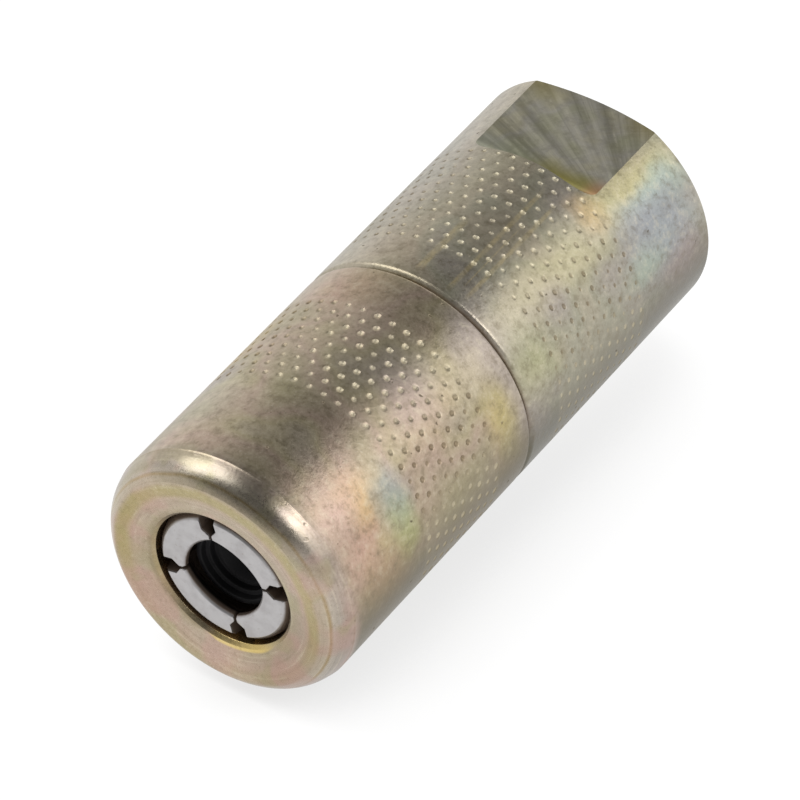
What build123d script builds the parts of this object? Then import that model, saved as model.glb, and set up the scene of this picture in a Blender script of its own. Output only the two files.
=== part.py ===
from build123d import *
from math import acos, cos, degrees, radians, sin, sqrt, tan
import os

# Four-jaw grease coupler, in millimetres.
# Its axis is Y. The inlet face is at y = 0, the nose points to -Y and +Z is up.
# Each place along the axis is worked out from the inlet face towards the nose.

# Head of the grease nipple that the jaws grip
nipple_head_radius = 3.25
nipple_clearance = 0.10

# Jaws and the cone that closes them
jaw_count = 4
first_jaw_azimuth = 60.0
cone_half_angle = 20.0
radial_travel = 1.00
grip_radius = 2.27
jaw_front_radius = 4.00
jaw_rear_radius = 4.95
jaw_overrun = 0.26
jaw_edge_chamfer = 0.25
jaw_rear_chamfer = 0.30
lip_lead_chamfer = 0.14
lip_land = 0.24
lip_back_angle = 45.0
slit_half_width = 0.10
relief_half_width = 0.48
relief_start_radius = 2.85
relief_slope_length = 0.34
cavity_cut_overrun = 1.00
cone_clearance = 0.05
chamber_clearance = 0.10

# Cap
cap_wall = 1.45
nose_hole_clearance = 0.20
nose_round_radius = 2.40
nose_edge_inset = 1.10
nose_edge_blend = 0.40
nose_dish_depth = 0.45
nose_rim_chamfer = 0.20
jaw_recess = 0.15
thread_relief = 0.15
thread_clearance = 0.05
cap_rear_round = 0.15
cap_mouth_chamfer = 0.30
chamber_run_out = 0.30

# Rear body
spigot_length = 5.94
spigot_chamfer = 0.30
shoulder_chamfer = 0.35
inlet_thread_radius = 4.86
inlet_thread_depth = 6.40
inlet_mouth_chamfer = 0.45
tap_drill_radius = 4.40
tap_drill_runout = 0.55
drill_tip_half_angle = 59.0
passage_radius = 1.10
passage_length = 0.91
seat_half_angle = 45.0
valve_bore_radius = 2.30
flat_depth = 1.05
flat_length = 7.05
flat_run_out_radius = 0.80
rear_chamfer_width = 1.20
rear_chamfer_length = 0.45

# Check valve
ball_radius = 1.75
contact_gap = 0.02
check_wire = 0.40
check_coil_radius = 1.35
check_spring_length = 6.30
check_turns = 4.0

# Plunger that carries the seal
plunger_travel = 2.70
plunger_stop_gap = 0.10
plunger_bore_radius = 3.50
plunger_fit = 0.05
collar_length = 2.60
spring_recess_depth = 1.60
spring_recess_clearance = 0.15
plunger_hole_radius = 1.00
stem_radius = 2.20
neck_radius = 1.45
neck_into_seal = 1.50
neck_clearance = 0.05
o_ring_groove_width = 1.20
o_ring_groove_floor = 2.58
collar_edge_chamfer = 0.15

# Retaining ring in the rear body
ring_thickness = 0.60
ring_groove_depth = 0.50
ring_groove_play = 0.06
ring_inner_radius = 2.75
ring_outer_clearance = 0.06
ring_gap_angle = 50.0
ring_seat_land = 0.60

# Thrust ring and main spring
thrust_thickness = 1.50
thrust_bore_clearance = 0.20
thrust_pilot_length = 0.90
thrust_pilot_wall = 0.605
thrust_pilot_clearance = 0.12
thrust_edge_chamfer = 0.20
thrust_stop_gap = 1.05
main_wire = 0.85
main_spring_length = 6.90
main_turns = 4.0
main_spring_side_clearance = 0.25

# Seal
seal_radius = 3.10
seal_nose_depth = 1.01
seal_length = 4.20
seal_lip_clearance = 0.12
seal_rim_width = 0.30
seal_step_depth = 0.40
seal_step_width = 0.28
seal_step_lean = 0.04
seal_step_count = 2
seal_bore_radius = 1.05
seal_funnel_length = 0.50
seal_washer_thickness = 0.70

# Round wire and round rubber have this many sides, to keep the model light
wire_sides = 6
o_ring_sides = 8

# Share of the wire that is ground off at each end of a spring
ground_share = 0.30

# Radii that follow from the values above
cone_slope = tan(radians(cone_half_angle))
jaw_travel = radial_travel / cone_slope
cavity_radius = nipple_head_radius + nipple_clearance
nose_hole_radius = jaw_front_radius + nose_hole_clearance
chamber_radius = jaw_rear_radius + radial_travel + chamber_clearance
outer_radius = chamber_radius + cap_wall
cap_thread_radius = chamber_radius + thread_relief
spigot_radius = cap_thread_radius - thread_clearance
collar_radius = plunger_bore_radius - plunger_fit
check_coil_outer = check_coil_radius + check_wire / 2
spring_recess_radius = check_coil_outer + spring_recess_clearance
thrust_bore_radius = seal_radius + thrust_bore_clearance
thrust_pilot_radius = thrust_bore_radius + thrust_pilot_wall
main_coil_radius = thrust_pilot_radius + thrust_pilot_clearance + main_wire / 2
spring_well_radius = main_coil_radius + main_wire / 2 + main_spring_side_clearance
ring_groove_radius = plunger_bore_radius + ring_groove_depth

# Depths behind the faces of the closed jaws. The cap's cone starts where it clears the jaws by
# the cone clearance, and the jaws reach past its end by the overrun.
cone_start_depth = jaw_edge_chamfer + (
    nose_hole_clearance - cone_clearance / cos(radians(cone_half_angle))
) / cone_slope
cone_end_depth = cone_start_depth + (chamber_radius - nose_hole_radius) / cone_slope
jaw_length = cone_end_depth + jaw_overrun

# Stations along the axis, from the inlet face towards the nose
thread_end = -inlet_thread_depth
drill_end = thread_end - tap_drill_runout
drill_tip = drill_end - (tap_drill_radius - passage_radius) / tan(radians(drill_tip_half_angle))
seat_end = drill_tip - passage_length
seat_mouth = seat_end - (valve_bore_radius - passage_radius) / tan(radians(seat_half_angle))
seat_apex = seat_end + passage_radius / tan(radians(seat_half_angle))
ball_centre = seat_apex - (ball_radius + contact_gap) / sin(radians(seat_half_angle))
ball_to_coil = sqrt((ball_radius + check_wire / 2 + contact_gap) ** 2 - check_coil_radius**2)
check_spring_rear = ball_centre - ball_to_coil + check_wire / 2
recess_floor = check_spring_rear - check_spring_length - contact_gap
collar_rear = recess_floor + spring_recess_depth
collar_front = collar_rear - collar_length
plunger_bore_floor = collar_rear + plunger_travel + plunger_stop_gap
ring_rear = collar_front - contact_gap
ring_front = ring_rear - ring_thickness
spring_seat = ring_front - ring_groove_play - ring_seat_land
thrust_rear = spring_seat - main_spring_length - 2 * contact_gap
thrust_front = thrust_rear - thrust_thickness
jaw_rear = thrust_front - contact_gap
jaw_front = jaw_rear - jaw_length
nose_rim = jaw_front - jaw_recess
nose_front = nose_rim - nose_dish_depth
spring_well_depth = main_spring_length - jaw_travel - thrust_stop_gap
spigot_front = spring_seat - spring_well_depth
shoulder = spigot_front + spigot_length
seal_front = jaw_front + seal_nose_depth
seal_rear = seal_front + seal_length
stem_front = seal_rear + seal_washer_thickness + contact_gap

os.makedirs("parts", exist_ok=True)


def save(piece, name):
    piece.part.label = name
    export_step(piece.part, f"parts/{name}.step")


# Cap: bullnosed sleeve with a dished face, a closing cone, the jaw chamber and the joint thread
cone_start = jaw_front + cone_start_depth
cone_end = jaw_front + cone_end_depth
chamber_end = spigot_front - chamber_run_out
face_outer_radius = outer_radius - nose_edge_inset
round_centre_radius = outer_radius - nose_round_radius
round_depth = sqrt(nose_round_radius**2 - (face_outer_radius - round_centre_radius) ** 2)
round_sweep = degrees(acos((face_outer_radius - round_centre_radius) / nose_round_radius))

with BuildPart() as cap:
    with BuildSketch(Plane.XY) as cap_section:
        with BuildLine():
            CenterArc(
                (round_centre_radius, nose_front + round_depth),
                nose_round_radius,
                -round_sweep,
                round_sweep,
            )
            Polyline(
                (outer_radius, nose_front + round_depth),
                (outer_radius, shoulder),
                (cap_thread_radius, shoulder),
                (cap_thread_radius, chamber_end),
                (chamber_radius, chamber_end),
                (chamber_radius, cone_end),
                (nose_hole_radius, cone_start),
                (nose_hole_radius, nose_rim),
                (face_outer_radius, nose_front),
            )
        make_face()
        section_corners = cap_section.vertices()
        fillet(section_corners.sort_by_distance((face_outer_radius, nose_front))[0], nose_edge_blend)
        chamfer(section_corners.sort_by_distance((nose_hole_radius, nose_rim))[0], nose_rim_chamfer)
        fillet(section_corners.sort_by_distance((outer_radius, shoulder))[0], cap_rear_round)
        chamfer(section_corners.sort_by_distance((cap_thread_radius, shoulder))[0], cap_mouth_chamfer)
    revolve(axis=Axis.Y)
save(cap, "cap")

# Rear body: spigot, spring well, plunger bore, valve chamber and seat, inlet thread and two flats.
with BuildPart() as rear_body:
    with BuildSketch(Plane.XY) as body_section:
        with BuildLine():
            Polyline(
                (passage_radius, drill_tip),
                (passage_radius, seat_end),
                (valve_bore_radius, seat_mouth),
                (valve_bore_radius, plunger_bore_floor),
                (plunger_bore_radius, plunger_bore_floor),
                (plunger_bore_radius, spring_seat),
                (spring_well_radius, spring_seat),
                (spring_well_radius, spigot_front),
                (spigot_radius, spigot_front),
                (spigot_radius, shoulder),
                (outer_radius, shoulder),
                (outer_radius, -rear_chamfer_length),
                (outer_radius - rear_chamfer_width, 0),
                (inlet_thread_radius, 0),
                (inlet_thread_radius, thread_end),
                (tap_drill_radius, thread_end),
                (tap_drill_radius, drill_end),
                close=True,
            )
        make_face()
        body_corners = body_section.vertices()
        chamfer(body_corners.sort_by_distance((spigot_radius, spigot_front))[0], spigot_chamfer)
        chamfer(body_corners.sort_by_distance((outer_radius, shoulder))[0], shoulder_chamfer)
        chamfer(body_corners.sort_by_distance((inlet_thread_radius, 0))[0], inlet_mouth_chamfer)
    revolve(axis=Axis.Y)
    # Groove of the retaining ring
    with BuildSketch(Plane.XZ.offset(-ring_front + ring_groove_play)):
        Circle(ring_groove_radius)
    extrude(amount=-(ring_thickness + 2 * ring_groove_play), mode=Mode.SUBTRACT)
    # Two wrench flats, above and below, each with the cutter's round run-out at its front end
    with BuildSketch(Plane.YZ):
        with Locations((0, outer_radius), (0, -outer_radius)):
            Rectangle(2 * flat_length, 2 * flat_depth)
        run_out_corners = [
            corner
            for corner in vertices()
            if corner.Y < 0 and abs(corner.Z) < outer_radius
        ]
        fillet(run_out_corners, flat_run_out_radius)
    extrude(amount=outer_radius, both=True, mode=Mode.SUBTRACT)
save(rear_body, "rear_body")


# Plane through the axis at an azimuth from +X towards +Z: its x is the radius, its y is +Y
def jaw_plane(azimuth):
    outward = Vector(cos(radians(azimuth)), 0, sin(radians(azimuth)))
    return Plane(origin=(0, 0, 0), x_dir=outward, z_dir=outward.cross(Vector(0, 1, 0)))


# One jaw, closed. Its outside is turned about the coupler's axis, so that it seats in the cone.
# Its lip and cavity are turned about the line where the coupler's axis lies when the jaw is open.
def make_jaw(azimuth):
    plane = jaw_plane(azimuth)
    open_axis = Axis(plane.from_local_coords((-radial_travel, 0, 0)), (0, 1, 0))
    cone_foot = jaw_front + jaw_edge_chamfer
    cone_top = cone_foot + (jaw_rear_radius - jaw_front_radius) / cone_slope
    lip_end = jaw_front + lip_lead_chamfer + lip_land
    cavity_start = lip_end + (cavity_radius - grip_radius) / tan(radians(lip_back_angle))
    with BuildPart() as jaw:
        with BuildSketch(plane):
            with BuildLine():
                Polyline(
                    (0, jaw_front),
                    (jaw_front_radius - jaw_edge_chamfer, jaw_front),
                    (jaw_front_radius, cone_foot),
                    (jaw_rear_radius, cone_top),
                    (jaw_rear_radius, jaw_rear - jaw_rear_chamfer),
                    (jaw_rear_radius - jaw_rear_chamfer, jaw_rear),
                    (0, jaw_rear),
                    close=True,
                )
            make_face()
        revolve(axis=Axis.Y)
        with BuildSketch(plane):
            with BuildLine():
                Polyline(
                    (-radial_travel, jaw_front - cavity_cut_overrun),
                    (grip_radius + lip_lead_chamfer, jaw_front - cavity_cut_overrun),
                    (grip_radius + lip_lead_chamfer, jaw_front),
                    (grip_radius, jaw_front + lip_lead_chamfer),
                    (grip_radius, lip_end),
                    (cavity_radius, cavity_start),
                    (cavity_radius, jaw_rear - jaw_rear_chamfer),
                    (cavity_radius + jaw_rear_chamfer, jaw_rear),
                    (cavity_radius + jaw_rear_chamfer, jaw_rear + cavity_cut_overrun),
                    (-radial_travel, jaw_rear + cavity_cut_overrun),
                    close=True,
                )
            make_face()
        revolve(axis=open_axis, mode=Mode.SUBTRACT)
        # The quarter that this jaw keeps: a narrow slit at the lip, then the wider relief
        reach = 2 * jaw_rear_radius
        side = [
            (slit_half_width, slit_half_width),
            (relief_start_radius, slit_half_width),
            (relief_start_radius + relief_slope_length, relief_half_width),
            (reach, relief_half_width),
        ]
        half_sector = radians(180 / jaw_count)
        upper = [
            (
                along * cos(half_sector) + across * sin(half_sector),
                along * sin(half_sector) - across * cos(half_sector),
            )
            for along, across in side
        ]
        lower = [(x, -y) for x, y in reversed(upper[1:])]
        with BuildSketch(Plane(origin=(0, jaw_rear, 0), x_dir=plane.x_dir, z_dir=(0, -1, 0))):
            with BuildLine():
                Polyline(*upper, *lower, close=True)
            make_face()
        extrude(amount=jaw_length, mode=Mode.INTERSECT)
    return jaw


for number in range(jaw_count):
    save(make_jaw(first_jaw_azimuth + number * 360 / jaw_count), f"jaw_{number + 1}")

# Thrust ring: pushes the jaws forward, slides in the chamber and centres the main spring.
with BuildPart() as thrust_ring:
    with BuildSketch(Plane.XY) as thrust_section:
        thrust_outer_radius = chamber_radius - chamber_clearance
        with BuildLine():
            Polyline(
                (thrust_bore_radius, thrust_front),
                (thrust_outer_radius, thrust_front),
                (thrust_outer_radius, thrust_rear),
                (thrust_pilot_radius, thrust_rear),
                (thrust_pilot_radius, thrust_rear + thrust_pilot_length),
                (thrust_bore_radius, thrust_rear + thrust_pilot_length),
                close=True,
            )
        make_face()
        thrust_corners = thrust_section.vertices()
        for corner in (
            (thrust_bore_radius, thrust_front),
            (thrust_outer_radius, thrust_front),
            (thrust_outer_radius, thrust_rear),
            (thrust_pilot_radius, thrust_rear + thrust_pilot_length),
        ):
            chamfer(thrust_corners.sort_by_distance(corner)[0], thrust_edge_chamfer)
    revolve(axis=Axis.Y)
save(thrust_ring, "thrust_ring")


# Helical spring along +Y with its ends ground flat
def make_spring(front, length, coil_radius, wire, turns):
    pitch = (length - wire) / turns
    ground = wire * ground_share
    with BuildPart() as spring:
        with BuildLine() as coil:
            Helix(
                pitch=pitch,
                height=length - wire + 2 * ground,
                radius=coil_radius,
                center=(0, front + wire / 2 - ground, 0),
                direction=(0, 1, 0),
            )
        with BuildSketch(coil.line ^ 0):
            RegularPolygon(wire / 2, wire_sides)
        sweep(is_frenet=True)
        with BuildSketch(Plane(origin=(0, front, 0), x_dir=(1, 0, 0), z_dir=(0, 1, 0))):
            Circle(coil_radius + wire)
        extrude(amount=length, mode=Mode.INTERSECT)
    return spring


# Main spring, between the well of the rear body and the thrust ring
save(
    make_spring(thrust_rear + contact_gap, main_spring_length, main_coil_radius, main_wire, main_turns),
    "main_spring",
)

# Check spring, between the plunger and the ball: it also brings the plunger forward
save(
    make_spring(
        recess_floor + contact_gap, check_spring_length, check_coil_radius, check_wire, check_turns
    ),
    "check_spring",
)

# Ball of the check valve, on its seat
with BuildPart(Plane.XZ.offset(-ball_centre)) as check_ball:
    Sphere(ball_radius)
save(check_ball, "check_ball")

# Plunger: collar with the groove of its O-ring, stem and neck, bored through for the grease
groove_middle = (collar_front + collar_rear) / 2
groove_front = groove_middle - o_ring_groove_width / 2
groove_rear = groove_middle + o_ring_groove_width / 2
neck_front = seal_rear - neck_into_seal
with BuildPart() as plunger:
    with BuildSketch(Plane.XY) as plunger_section:
        with BuildLine():
            Polyline(
                (plunger_hole_radius, neck_front),
                (neck_radius, neck_front),
                (neck_radius, stem_front),
                (stem_radius, stem_front),
                (stem_radius, collar_front),
                (collar_radius, collar_front),
                (collar_radius, groove_front),
                (o_ring_groove_floor, groove_front),
                (o_ring_groove_floor, groove_rear),
                (collar_radius, groove_rear),
                (collar_radius, collar_rear),
                (spring_recess_radius, collar_rear),
                (spring_recess_radius, recess_floor),
                (plunger_hole_radius, recess_floor),
                close=True,
            )
        make_face()
        plunger_corners = plunger_section.vertices()
        for corner in ((collar_radius, collar_front), (collar_radius, collar_rear)):
            chamfer(plunger_corners.sort_by_distance(corner)[0], collar_edge_chamfer)
    revolve(axis=Axis.Y)
save(plunger, "plunger")

# O-ring of the plunger, squeezed between its groove and the bore
with BuildPart() as plunger_o_ring:
    with BuildSketch(Plane.XY):
        with Locations(((o_ring_groove_floor + plunger_bore_radius) / 2, groove_middle)):
            RegularPolygon(
                (plunger_bore_radius - o_ring_groove_floor) / 2 - contact_gap,
                o_ring_sides,
                major_radius=False,
                rotation=180 / o_ring_sides,
            )
    revolve(axis=Axis.Y)
save(plunger_o_ring, "plunger_o_ring")

# Retaining ring in its groove: an open ring that stops the collar of the plunger
with BuildPart() as retaining_ring:
    with BuildSketch(Plane.XZ.offset(-ring_rear)):
        Circle(ring_groove_radius - ring_outer_clearance)
        Circle(ring_inner_radius, mode=Mode.SUBTRACT)
        with BuildLine():
            ring_reach = 2 * ring_groove_radius
            half_gap = radians(ring_gap_angle / 2)
            Polyline(
                (0, 0),
                (-ring_reach * sin(half_gap), ring_reach * cos(half_gap)),
                (ring_reach * sin(half_gap), ring_reach * cos(half_gap)),
                close=True,
            )
        make_face(mode=Mode.SUBTRACT)
    extrude(amount=ring_thickness)
save(retaining_ring, "retaining_ring")

# Washer behind the seal, on the neck of the plunger
with BuildPart() as seal_washer:
    with BuildSketch(Plane.XY):
        with BuildLine():
            Polyline(
                (neck_radius + neck_clearance, seal_rear + contact_gap / 2),
                (seal_radius, seal_rear + contact_gap / 2),
                (seal_radius, stem_front - contact_gap / 2),
                (neck_radius + neck_clearance, stem_front - contact_gap / 2),
                close=True,
            )
        make_face()
    revolve(axis=Axis.Y)
save(seal_washer, "seal_washer")

# Rubber seal: a nose that tapers as the cone does, so that the jaws open past it,
# and a stepped funnel that closes on the head of the nipple
seal_nose_radius = grip_radius + (seal_front - jaw_front - lip_lead_chamfer - lip_land) * cone_slope
seal_nose_radius -= seal_lip_clearance
seal_shoulder = seal_front + (seal_radius - seal_nose_radius) / cone_slope
funnel_steps = []
for step in range(seal_step_count):
    step_radius = seal_nose_radius - seal_rim_width - step * seal_step_width
    step_front = seal_front + step * seal_step_depth
    funnel_steps.append((step_radius, step_front))
    funnel_steps.append((step_radius - seal_step_lean, step_front + seal_step_depth))
funnel_radius = seal_nose_radius - seal_rim_width - seal_step_count * seal_step_width
funnel_front = seal_front + seal_step_count * seal_step_depth
with BuildPart() as seal:
    with BuildSketch(Plane.XY):
        with BuildLine():
            Polyline(
                (seal_nose_radius, seal_front),
                *funnel_steps,
                (funnel_radius, funnel_front),
                (seal_bore_radius, funnel_front + seal_funnel_length),
                (seal_bore_radius, neck_front - contact_gap),
                (neck_radius + neck_clearance, neck_front - contact_gap),
                (neck_radius + neck_clearance, seal_rear),
                (seal_radius, seal_rear),
                (seal_radius, seal_shoulder),
                close=True,
            )
        make_face()
    revolve(axis=Axis.Y)
save(seal, "seal")
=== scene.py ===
import math
import random

import bmesh
import bpy
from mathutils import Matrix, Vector


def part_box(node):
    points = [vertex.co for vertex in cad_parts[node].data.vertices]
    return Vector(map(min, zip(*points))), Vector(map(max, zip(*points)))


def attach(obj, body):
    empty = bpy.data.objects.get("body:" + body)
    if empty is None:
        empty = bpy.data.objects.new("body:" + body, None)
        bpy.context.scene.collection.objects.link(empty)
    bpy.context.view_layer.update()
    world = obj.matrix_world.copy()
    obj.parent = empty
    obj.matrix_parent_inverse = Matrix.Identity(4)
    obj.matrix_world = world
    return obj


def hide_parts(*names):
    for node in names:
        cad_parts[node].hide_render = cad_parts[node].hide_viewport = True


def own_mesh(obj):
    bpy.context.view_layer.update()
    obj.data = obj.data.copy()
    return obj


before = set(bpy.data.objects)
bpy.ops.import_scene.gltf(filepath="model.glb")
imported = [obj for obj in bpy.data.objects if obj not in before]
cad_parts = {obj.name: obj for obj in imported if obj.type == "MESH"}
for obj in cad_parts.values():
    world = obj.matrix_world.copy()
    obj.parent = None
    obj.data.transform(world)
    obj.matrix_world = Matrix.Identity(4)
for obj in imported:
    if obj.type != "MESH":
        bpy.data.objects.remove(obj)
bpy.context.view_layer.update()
mm = 0.001  # every size below is in millimetres times this
print("frame loaded:", len(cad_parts), "pieces from the CAD")


# Working with a piece

def startPiece(name):
    # The primitive just added becomes the named piece, with its place in its mesh
    piece = bpy.context.object
    piece.name = name
    piece.data.name = name
    bpy.ops.object.transform_apply(location=True, rotation=True, scale=True)
    return piece


def selectNothing():
    if bpy.context.object and bpy.context.object.mode != "OBJECT":
        bpy.ops.object.mode_set(mode="OBJECT")
    bpy.ops.object.select_all(action="DESELECT")


def onlySelect(piece):
    selectNothing()
    bpy.context.view_layer.objects.active = piece
    piece.select_set(True)


def editAll(kind):
    # Into edit mode, with every face, edge or corner selected
    bpy.ops.object.mode_set(mode="EDIT")
    bpy.ops.mesh.select_mode(type=kind)
    bpy.ops.mesh.select_all(action="SELECT")


def pick(piece, kind, wanted, clear=True):
    # In edit mode: selects the faces, edges or corners that pass the test
    bpy.ops.mesh.select_mode(type=kind)
    if clear:
        bpy.ops.mesh.select_all(action="DESELECT")
    mesh = bmesh.from_edit_mesh(piece.data)
    for part in {"FACE": mesh.faces, "EDGE": mesh.edges, "VERT": mesh.verts}[kind]:
        if wanted(part):
            part.select_set(True)
    bmesh.update_edit_mesh(piece.data)


def pickRing(piece, radius, place, clear=True):
    # In edit mode: selects the ring of edges at a radius and a place along the axis
    near = 0.002 * mm

    def inRing(edge):
        return all(
            abs(end.co.y - place) < near and abs(math.hypot(end.co.x, end.co.z) - radius) < near
            for end in edge.verts
        )

    pick(piece, "EDGE", inRing, clear)


def applyModifier(piece, kind, **settings):
    onlySelect(piece)
    modifier = piece.modifiers.new(kind.title(), kind)
    for setting, value in settings.items():
        setattr(modifier, setting, value)
    bpy.ops.object.modifier_apply(modifier=modifier.name)


def smoothPiece(piece, degrees=30):
    onlySelect(piece)
    bpy.ops.object.shade_smooth_by_angle(angle=math.radians(degrees))


def roundedSection(corners):
    # Corners are (radius, place) or (radius, place, rounding, steps), whose rounding becomes an arc
    section = []
    for index, (radius, place, *arc) in enumerate(corners):
        corner = Vector((radius, place))
        if not arc:
            section.append(corner)
            continue
        rounding, steps = arc
        before = (Vector(corners[index - 1][:2]) - corner).normalized()
        after = (Vector(corners[(index + 1) % len(corners)][:2]) - corner).normalized()
        halfAngle = before.angle(after) / 2
        centre = corner + (before + after).normalized() * rounding / math.sin(halfAngle)
        arm = corner + before * rounding / math.tan(halfAngle) - centre
        sweep = math.pi - 2 * halfAngle
        if before.x * after.y - before.y * after.x > 0:
            sweep = -sweep
        for step in range(steps + 1):
            angle = sweep * step / steps
            turned = (
                arm.x * math.cos(angle) - arm.y * math.sin(angle),
                arm.x * math.sin(angle) + arm.y * math.cos(angle),
            )
            section.append(centre + Vector(turned))
    return section


def turnPiece(name, section, segments, firstAngle=0.0):
    # Turned about the coupler's axis: one ring, extruded and resized from point to point
    selectNothing()
    radius, place = section[0]
    bpy.ops.mesh.primitive_circle_add(
        vertices=segments, radius=radius, location=(0, place, 0),
        rotation=(math.pi / 2, math.radians(firstAngle), 0),
    )
    piece = startPiece(name)
    editAll("VERT")
    for nextRadius, nextPlace in section[1:]:
        onward = {"value": (0, nextPlace - place, 0)}
        bpy.ops.mesh.extrude_region_move(TRANSFORM_OT_translate=onward)
        share = nextRadius / radius
        bpy.ops.transform.resize(value=(share, 1, share), center_override=(0, nextPlace, 0))
        radius, place = nextRadius, nextPlace
    pickRing(piece, radius, place)
    pickRing(piece, *section[0], clear=False)
    bpy.ops.mesh.bridge_edge_loops()
    bpy.ops.mesh.select_all(action="SELECT")
    bpy.ops.mesh.normals_make_consistent(inside=False)
    return piece


def creaseRings(piece, rings):
    # In edit mode: these rings stay sharp under the subdivision
    for radius, place in rings:
        pickRing(piece, radius, place)
        bpy.ops.transform.edge_crease(value=1)


def angleOf(point):
    # Degrees from straight up, towards +X
    return math.degrees(math.atan2(point.x, point.z)) % 360


# Knurl

def pressDimples(piece, knurl):
    # In edit mode: presses a staggered field of dimples, in groups of their own size and depth
    chance = random.Random(knurl["seed"])
    columnAngle = 180 / knurl["dimplesRound"]
    groups = {}
    for ring in range(knurl["rings"]):
        for column in range(2 * knurl["dimplesRound"]):
            if (ring + column) % 2 == 0:
                groups[ring, column] = chance.randrange(len(knurl["groups"]))

    def groupOf(face):
        middle = face.calc_center_median()
        ring = round((middle.y - knurl["firstRing"]) / knurl["ringPitch"])
        across = abs(middle.y - knurl["firstRing"] - ring * knurl["ringPitch"])
        inside = math.hypot(middle.x, middle.z) < knurl["radius"] * 0.98
        if inside or across > knurl["rowHeight"] / 4:
            return None
        column = (angleOf(middle) - knurl["firstAngle"]) % 360 // columnAngle
        return groups.get((ring, int(column)))

    for group, (rim, depth) in enumerate(knurl["groups"]):
        pick(piece, "FACE", lambda face: groupOf(face) == group)
        wall = depth * knurl["wallShare"]
        for width, drop in ((rim, 0), (knurl["wall"], wall), (knurl["floor"], depth - wall)):
            bpy.ops.mesh.inset(thickness=width, depth=-drop, use_individual=True)


def knurlRows(knurl):
    # Places of the row edges along the axis, from the nose towards the inlet
    rows = []
    for ring in range(knurl["rings"]):
        middle = knurl["firstRing"] + ring * knurl["ringPitch"]
        rows += [middle - knurl["rowHeight"] / 2, middle + knurl["rowHeight"] / 2]
    return rows


def turnKnurled(name, section, knurl):
    # Two sides for each dimple round the piece
    return turnPiece(name, section, 2 * knurl["dimplesRound"], knurl["firstAngle"])


# Cap

capLow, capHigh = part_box("cap")
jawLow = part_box("jaw_1")[0]
cap = {
    "outerRadius": capHigh.z,
    "noseFront": capLow.y,
    "shoulder": capHigh.y,
    "holeRadius": 4.20 * mm,
    "rimFront": jawLow.y - 0.19 * mm,
    "rimChamfer": 0.20 * mm,
    "rimSoftening": 0.05 * mm,
    "faceEdgeRadius": 6.40 * mm,
    "faceEdgeRounding": 0.40 * mm,
    "noseRounding": 2.08 * mm,
    "noseSlope": 57.2,
    "noseLean": 12.0,
    "lipSetback": 1.62 * mm,
    "lipDepth": 0.03 * mm,
    "lipWidth": 0.06 * mm,
    "lipFoot": 0.02 * mm,
    "cornerReach": 0.025 * mm,  # how far the nose's edge would stand out unrounded
    # rings that keep the faces of the sleeve short, before and behind the knurl
    "ringsBefore": [-32.5 * mm, -30.6 * mm, -29.0 * mm],
    "ringsBehind": [-20.5 * mm, -19.5 * mm],
    "rearRounding": 0.15 * mm,
    "mouthChamfer": 0.30 * mm,
    "threadRadius": 6.20 * mm,
    "threadLength": 6.24 * mm,
    "chamberRadius": 6.05 * mm,
    "chamberLength": 5.317 * mm,
    "coneStart": jawLow.y + 0.653 * mm,
}
cap["knurl"] = {
    "radius": cap["outerRadius"],
    "dimplesRound": 51,
    "firstAngle": -1.46,
    "rings": 9,
    "firstRing": -27.69 * mm,
    "ringPitch": 0.778 * mm,
    "rowHeight": 0.45 * mm,
    # rim width and depth of each group
    "groups": [
        (0.004 * mm, 0.088 * mm),
        (0.016 * mm, 0.074 * mm),
        (0.006 * mm, 0.098 * mm),
        (0.034 * mm, 0.056 * mm),
    ],
    "wall": 0.115 * mm,
    "floor": 0.065 * mm,
    "wallShare": 0.72,
    "seed": 11,
}


def buildCap():
    outer = cap["outerRadius"]
    noseLine = cap["noseFront"] - cap["cornerReach"]
    slope = math.tan(math.radians(cap["noseSlope"]))
    lean = math.tan(math.radians(cap["noseLean"]))
    lipRadius = outer - cap["lipDepth"]
    noseLip = noseLine + cap["lipSetback"]
    noseHeight = (lipRadius - cap["faceEdgeRadius"] - lean * cap["lipSetback"]) / (slope - lean)
    slopeEnd = cap["faceEdgeRadius"] + slope * noseHeight
    threadEnd = cap["shoulder"] - cap["threadLength"]
    coneEnd = threadEnd - cap["chamberLength"]
    section = roundedSection([
        (cap["holeRadius"], cap["rimFront"] + cap["rimChamfer"], cap["rimSoftening"], 2),
        (cap["holeRadius"] + cap["rimChamfer"], cap["rimFront"], cap["rimSoftening"], 2),
        (cap["faceEdgeRadius"], noseLine, cap["faceEdgeRounding"], 4),
        (slopeEnd, noseLine + noseHeight, cap["noseRounding"], 10),
        (lipRadius - cap["lipFoot"] * lean, noseLip - cap["lipFoot"]),
        (lipRadius, noseLip),
        *[(outer, noseLip + share * cap["lipWidth"]) for share in (1, 1.5, 5)],
        *[(outer, ring) for ring in cap["ringsBefore"]],
        *[(outer, row) for row in knurlRows(cap["knurl"])],
        *[(outer, ring) for ring in cap["ringsBehind"]],
        (outer, cap["shoulder"] - 3 * cap["rearRounding"]),
        (outer, cap["shoulder"], cap["rearRounding"], 4),
        (cap["threadRadius"] + cap["mouthChamfer"], cap["shoulder"]),
        (cap["threadRadius"], cap["shoulder"] - cap["mouthChamfer"]),
        (cap["threadRadius"], threadEnd),
        (cap["chamberRadius"], threadEnd),
        (cap["chamberRadius"], coneEnd),
        (cap["holeRadius"], cap["coneStart"]),
    ])
    piece = turnKnurled("capTurned", section, cap["knurl"])
    creaseRings(piece, section[-6:])  # all of the inside, from the mouth to the cone
    pressDimples(piece, cap["knurl"])
    applyModifier(piece, "SUBSURF", levels=1, render_levels=1)
    smoothPiece(piece)
    return piece


capPiece = buildCap()
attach(capPiece, "shell")
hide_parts("cap")
print("cap turned and knurled:", len(capPiece.data.polygons), "faces")


# Rear body

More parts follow.
